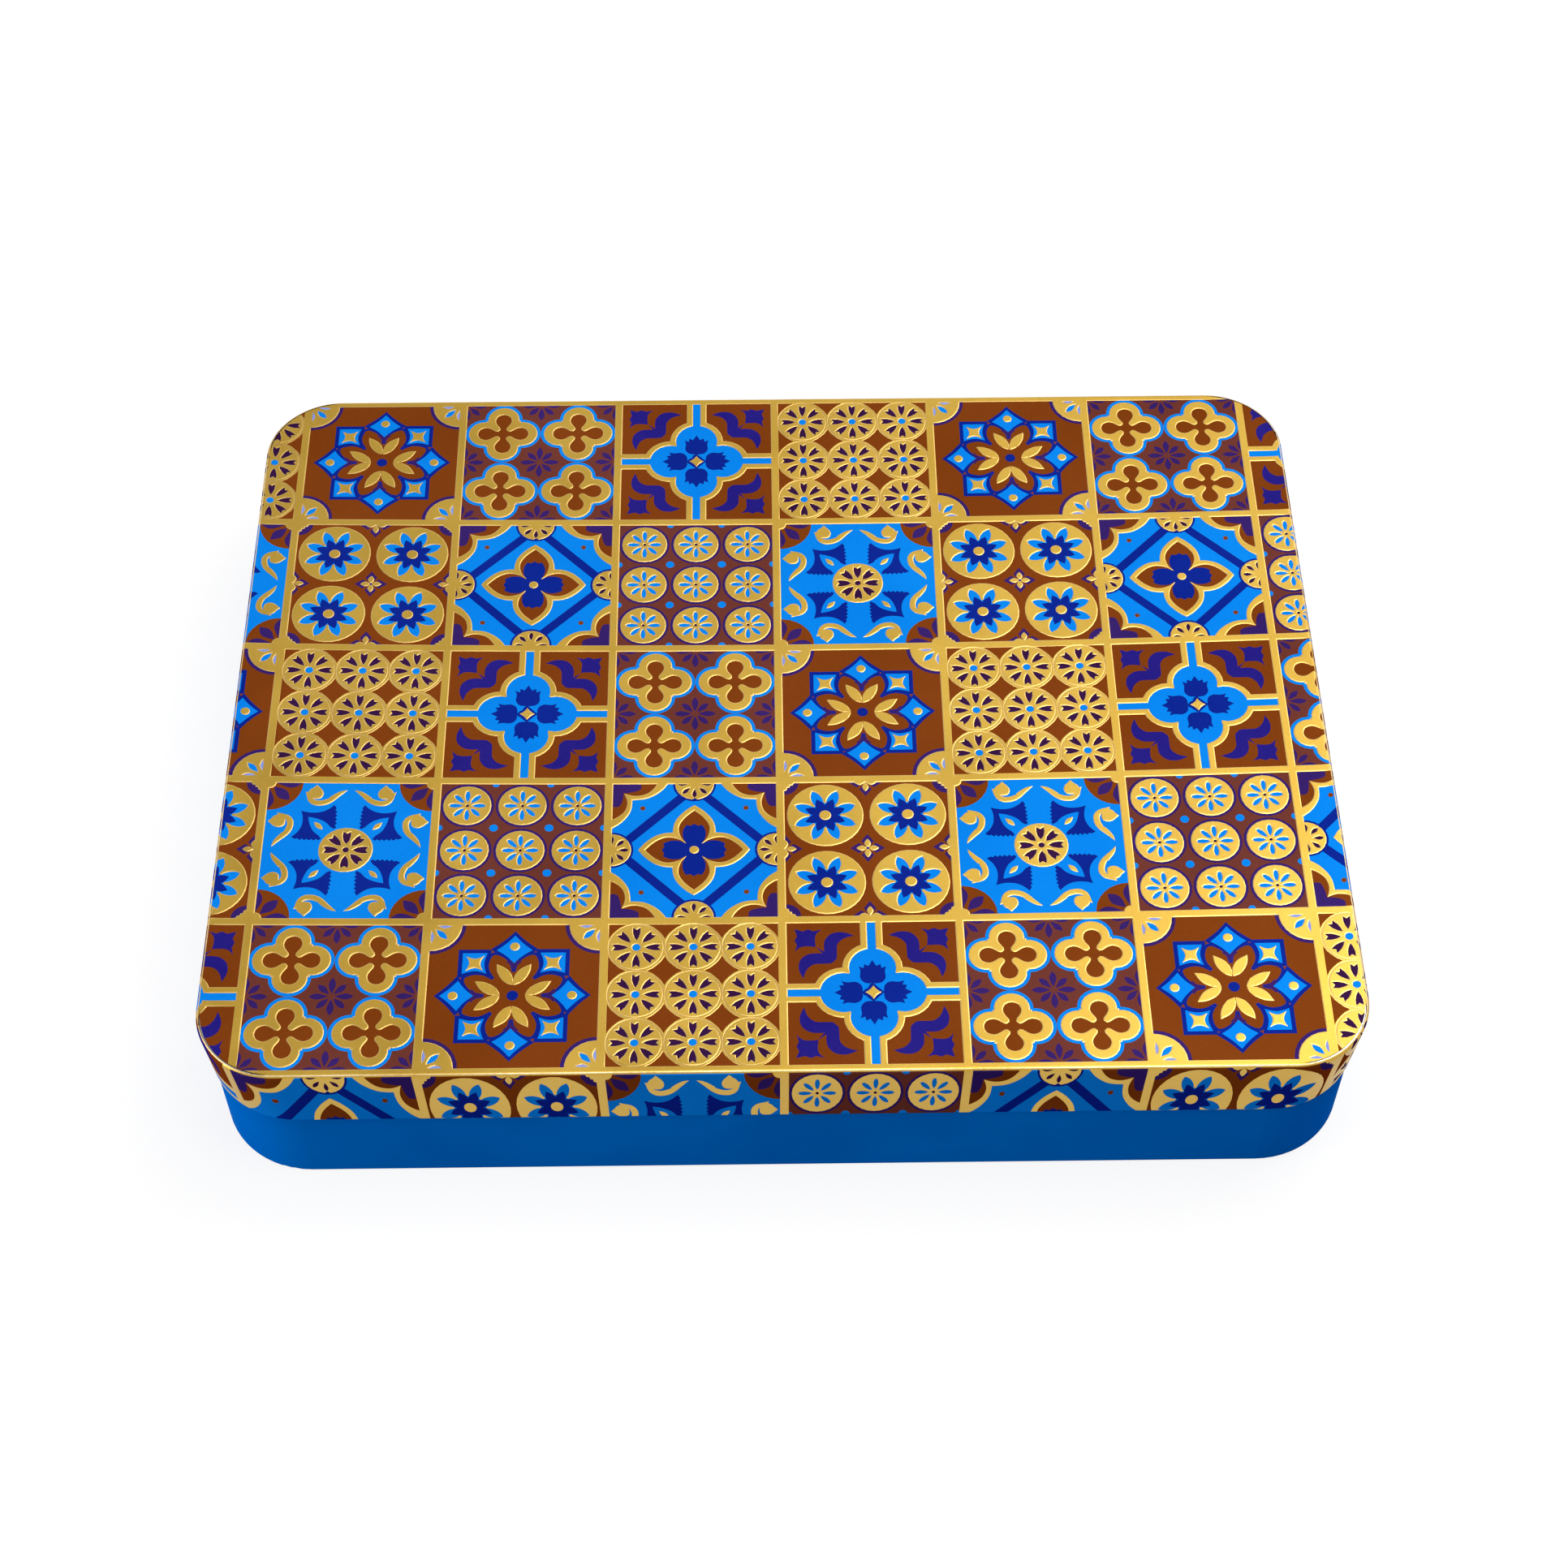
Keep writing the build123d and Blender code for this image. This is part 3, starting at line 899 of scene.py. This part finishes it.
def build_lid(materials):
    """The printed lid as one mesh, one material to a paint."""
    motifs = {"A": star(), "B": quatrefoils(), "C": crosses(), "D": nine_large(), "E": four_flowers(),
              "F": diamond_flower(), "G": scrolls(), "H": nine_small()}
    lines = {name: seams(layers) for name, layers in motifs.items()}
    last_row, last_column = len(ROWS) - 1, len(ROWS[0]) - 1
    sheet = Sheet()
    for row, names in enumerate(ROWS):
        for column, name in enumerate(names):
            middle = np.array([(column - last_column / 2) * PITCH, (last_row / 2 - row) * PITCH])
            tile = (sheet, lines[name], motifs[name], middle)
            nearest = [max(abs(place) - PITCH / 2, 0) for place in middle]
            if past_panel(*nearest) < 0:
                add_tile(*tile, panel_guides(), (-inf, 0), past_panel)
            if (row in (0, last_row)) != (column in (0, last_column)):
                add_tile(*tile, side_guides(), (0, SHEET_RUN), past_edge)
    add_skin(sheet)
    mesh = bpy.data.meshes.new("printed_lid")
    mesh.from_pydata([point * MM for point in sheet.points], [], sheet.faces)
    for paint in PAINTS:
        mesh.materials.append(materials[paint])
    mesh.polygons.foreach_set("material_index", sheet.paints)
    mesh.polygons.foreach_set("use_smooth", [True] * len(sheet.faces))
    mesh.normals_split_custom_set([normal for corners in sheet.normals for normal in corners])
    return placed("printed_lid", mesh)


def linear(red, green, blue):
    """A colour as it is seen, from 0 to 255, in the linear values that a shader takes."""
    def channel(value):
        value /= 255
        return value / 12.92 if value <= 0.04045 else ((value + 0.055) / 1.055) ** 2.4
    return (channel(red), channel(green), channel(blue), 1.0)


def add_node(tree, kind, inputs, **settings):
    """Adds a node. Each input, by name or number, is a value or the output of another node."""
    made = tree.nodes.new(kind)
    for key, value in settings.items():
        setattr(made, key, value)
    for key, value in inputs.items():
        if isinstance(value, bpy.types.NodeSocket):
            tree.links.new(value, made.inputs[key])
        else:
            made.inputs[key].default_value = value
    return made


def reckoned(tree, operation, *numbers):
    """The sum, product or the like of two numbers."""
    return add_node(tree, "ShaderNodeMath", dict(enumerate(numbers)), operation=operation).outputs[0]


def ranged(tree, value, *numbers):
    """Carries a value over from a range of numbers, the first two, to another, the last two."""
    names = ("Value", "From Min", "From Max", "To Min", "To Max")
    return add_node(tree, "ShaderNodeMapRange", dict(zip(names, (value, *numbers)))).outputs["Result"]


class Finish:
    """A material whose colour and roughness wander a little, under a fine uneven surface."""

    def __init__(self, name, **sockets):
        self.material = bpy.data.materials.new(name)
        self.material.use_nodes = True
        self.tree = self.material.node_tree
        self.shader = self.tree.nodes["Principled BSDF"]
        for socket, value in sockets.items():
            self.shader.inputs[socket.replace("_", " ")].default_value = value
        self.place = self.tree.nodes.new("ShaderNodeTexCoord").outputs["Object"]

    def feed(self, source, socket):
        """Leads the output of a node to the shader."""
        self.tree.links.new(source, self.shader.inputs[socket])

    def noise(self, scale, detail=2.0, stretch=(1, 1, 1)):
        """A cloudy value about 0.5, with patches of about one over scale metres."""
        mapping = add_node(self.tree, "ShaderNodeMapping", {"Vector": self.place, "Scale": stretch})
        inputs = {"Vector": mapping.outputs["Vector"], "Scale": scale, "Detail": detail}
        return add_node(self.tree, "ShaderNodeTexNoise", inputs).outputs["Fac"]

    def clouds(self, scale, low, high, detail=3.0):
        """A noise carried over to a range of numbers."""
        return ranged(self.tree, self.noise(scale, detail), 0.3, 0.7, low, high)

    def colour(self, value, first, second):
        """Mixes two by a value, each a colour or the output of a node."""
        inputs = {"Factor": value, "A": first, "B": second}
        return add_node(self.tree, "ShaderNodeMix", inputs, data_type="RGBA").outputs["Result"]

    def paint(self, tone, dark, scale=40.0, grain=1800.0):
        """The base colour: two near tones in broad clouds, broken up by a fine grain."""
        noises = self.clouds(scale, 0.0, 0.7), self.clouds(grain, 0.0, 0.3, 1.0)
        self.feed(self.colour(reckoned(self.tree, "ADD", *noises), tone, dark), "Base Color")

    def outside(self):
        """1 where a face looks away from the upright axis, and 0 where it looks inwards."""
        inputs = {0: self.place, 1: (1, 1, 0)}
        flat = add_node(self.tree, "ShaderNodeVectorMath", inputs, operation="MULTIPLY")
        inputs = {0: flat.outputs["Vector"], 1: self.place.node.outputs["Normal"]}
        dot = add_node(self.tree, "ShaderNodeVectorMath", inputs, operation="DOT_PRODUCT")
        return reckoned(self.tree, "GREATER_THAN", dot.outputs["Value"], 0.0)

    def rough(self, low, high, scale=60.0):
        """Roughness that wanders between two values."""
        self.feed(self.clouds(scale, low, high), "Roughness")

    def bump(self, distance, *noise, strength=1.0):
        """A fine unevenness of that many metres."""
        inputs = {"Strength": strength, "Distance": distance, "Height": self.noise(*noise)}
        self.feed(add_node(self.tree, "ShaderNodeBump", inputs).outputs["Normal"], "Normal")


# The other finishes: two near tones each
BARE = (0.76, 0.76, 0.74, 1), (0.68, 0.68, 0.67, 1)
LACQUER = linear(0, 123, 226), linear(0, 114, 214)
PLASTIC = linear(224, 186, 112), linear(214, 174, 100)

# The finish of each node that keeps its CAD mesh
DRESSED = {"base_wall": "wall", "base_bottom": "tin", "nut_tray": "tray", "cover_sheet": "clear"}


def ink(paint, tone, dark, metal):
    """Ink or varnish: the more metal, the more of the tin under it shines through in its colour."""
    kind, tint = "varnish", (1, 1, 1, 1)
    if metal == INK:
        kind, tint = "ink", linear(*(255 * value / max(tone) for value in tone))
    finish = Finish(f"{paint}_{kind}", Specular_IOR_Level=0.0, Metallic=metal, Specular_Tint=tint)
    finish.paint(linear(*tone), linear(*dark))
    finish.rough(0.3, 0.4)
    finish.bump(0.00001, 700.0)
    return finish.material


def make_materials():
    """Every finish of the box by name."""
    made = {paint: ink(paint, *recipe) for paint, recipe in INKS.items()}
    tin = Finish("bare_tinplate", Metallic=1.0)
    tin.paint(*BARE, 30.0)
    tin.rough(0.26, 0.34)
    tin.bump(0.000012, 1500.0, 2.0, (0.04, 1, 1))
    made["tin"] = tin.material

    wall = Finish("blue_lacquer", Specular_IOR_Level=0.0, Specular_Tint=linear(0, 130, 255))
    wall.rough(0.3, 0.42)
    wall.bump(0.000012, 500.0)
    lacquer = wall.colour(wall.clouds(35.0, 0, 1), *LACQUER)
    bare = wall.colour(wall.clouds(30.0, 0, 1), *BARE)
    side = wall.outside()
    wall.feed(wall.colour(side, bare, lacquer), "Base Color")
    wall.feed(ranged(wall.tree, side, 0, 1, 1.0, INK), "Metallic")
    made["wall"] = wall.material

    tray = Finish("tray_sheet", Specular_IOR_Level=0.5)
    tray.paint(*PLASTIC, 25.0)
    tray.rough(0.22, 0.34)
    tray.bump(0.00004, 260.0, 3.0)
    made["tray"] = tray.material

    clear = Finish("clear_sheet", Transmission_Weight=1.0, IOR=1.45, Base_Color=(0.97, 0.98, 1.0, 1))
    clear.rough(0.03, 0.1)
    clear.bump(0.0002, 30.0, 1.0, strength=0.3)
    made["clear"] = clear.material
    return made


# The photograph's camera: its sensor and lens in millimetres, its place in metres and where it faces
SENSOR, LENS = 36.0, 65.43
EYE = (-0.00473, -0.4029, 0.557)
FORWARD = (0.00877, 0.59338, -0.80487)
RIGHT = (0.99991, -0.01341, 0.001)

# The lamps: name, place, what they are turned to, size and power
LAMPS = (
    ("top", (0.35, -0.04, 1.3), (0, 0, 0), 1.0, 10.5),
    ("right", (0.6, 0.5, 1.15), (0, 0, 0), 0.8, 4.3),
    ("left", (-0.9, -0.3, 0.35), (0, 0, 0.02), 0.4, 4.4),
)

# The sky is dim as a light. In reflections it is white low down, and higher up it is graded to the left and
# overhead: a range of the direction's Z or X, and the strengths at its ends.
SKY_LIGHT = 0.2
SKY_HEIGHT = (0.2, 0.7, 1.0)
SKY_LEFT = (-0.14, 0.0, 0.63, 1.0)
SKY_ABOVE = (0.79, 0.835, 1.0, 0.58)

# The floor: half its width, its tone, and its glow: a range of the distance, and the glow at its ends
FLOOR_REACH = 4.0
FLOOR_TONE = (0.2, 0.2, 0.2, 1)
FLOOR_GLOW = (0.3, 1.6, 0.83, 0.97)


def make_camera():
    """The camera, where the photograph's was."""
    data = bpy.data.cameras.new("camera")
    data.sensor_width = SENSOR
    data.lens = LENS
    camera = placed("camera", data)
    forward, right = Vector(FORWARD).normalized(), Vector(RIGHT)
    right = (right - forward * right.dot(forward)).normalized()
    camera.matrix_world = Matrix((right, right.cross(forward), -forward)).transposed().to_4x4()
    camera.location = EYE
    bpy.context.scene.camera = camera


def lamp(name, place, target, size, power):
    """A square soft light."""
    data = bpy.data.lights.new(name, "AREA")
    data.shape = "SQUARE"
    data.size = size
    data.energy = power
    light = placed(name, data)
    light.location = place
    light.rotation_mode = "QUATERNION"
    light.rotation_quaternion = (Vector(target) - Vector(place)).to_track_quat("-Z", "Y")


def seen_or(tree, seen, other):
    """A value for what the camera, reflections and clear sheets see, and another for the light."""
    path = tree.nodes.new("ShaderNodeLightPath")
    looks = path.outputs["Is Camera Ray"]
    for ray in ("Is Glossy Ray", "Is Transmission Ray"):
        looks = reckoned(tree, "MAXIMUM", looks, path.outputs[ray])
    return ranged(tree, looks, 0, 1, other, seen)


def make_sky():
    """A plain white sky."""
    world = bpy.data.worlds.new("studio")
    world.use_nodes = True
    bpy.context.scene.world = world
    tree = world.node_tree
    place = tree.nodes.new("ShaderNodeTexCoord").outputs["Generated"]
    way = add_node(tree, "ShaderNodeSeparateXYZ", {0: place}).outputs
    grade = reckoned(tree, "MULTIPLY", ranged(tree, way["X"], *SKY_LEFT), ranged(tree, way["Z"], *SKY_ABOVE))
    strength = seen_or(tree, ranged(tree, way["Z"], *SKY_HEIGHT, grade), SKY_LIGHT)
    background = tree.nodes["Background"]
    background.inputs["Color"].default_value = (1, 1, 1, 1)
    tree.links.new(strength, background.inputs["Strength"])


def make_floor():
    """A pale floor that looks white and keeps the box's shadow."""
    mesh = bpy.data.meshes.new("floor")
    mesh.from_pydata([(x, y, 0) for x, y in square(FLOOR_REACH)], [], [(0, 1, 2, 3)])
    pale = Finish("pale_floor", Roughness=0.9, Specular_IOR_Level=0.0, Base_Color=FLOOR_TONE)
    pale.shader.inputs["Emission Color"].default_value = (1, 1, 1, 1)
    away = add_node(pale.tree, "ShaderNodeVectorMath", {0: pale.place}, operation="LENGTH").outputs["Value"]
    pale.feed(seen_or(pale.tree, ranged(pale.tree, away, *FLOOR_GLOW), 0.0), "Emission Strength")
    mesh.materials.append(pale.material)
    placed("floor", mesh)


materials = make_materials()
lid = build_lid(materials)
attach(lid, "lid")
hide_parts("lid_shell")
for node, finish in DRESSED.items():
    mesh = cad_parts[node].data
    mesh.materials.clear()
    mesh.materials.append(materials[finish])
make_camera()
make_sky()
make_floor()
for settings in LAMPS:
    lamp(*settings)
bpy.context.scene.view_settings.view_transform = "Standard"
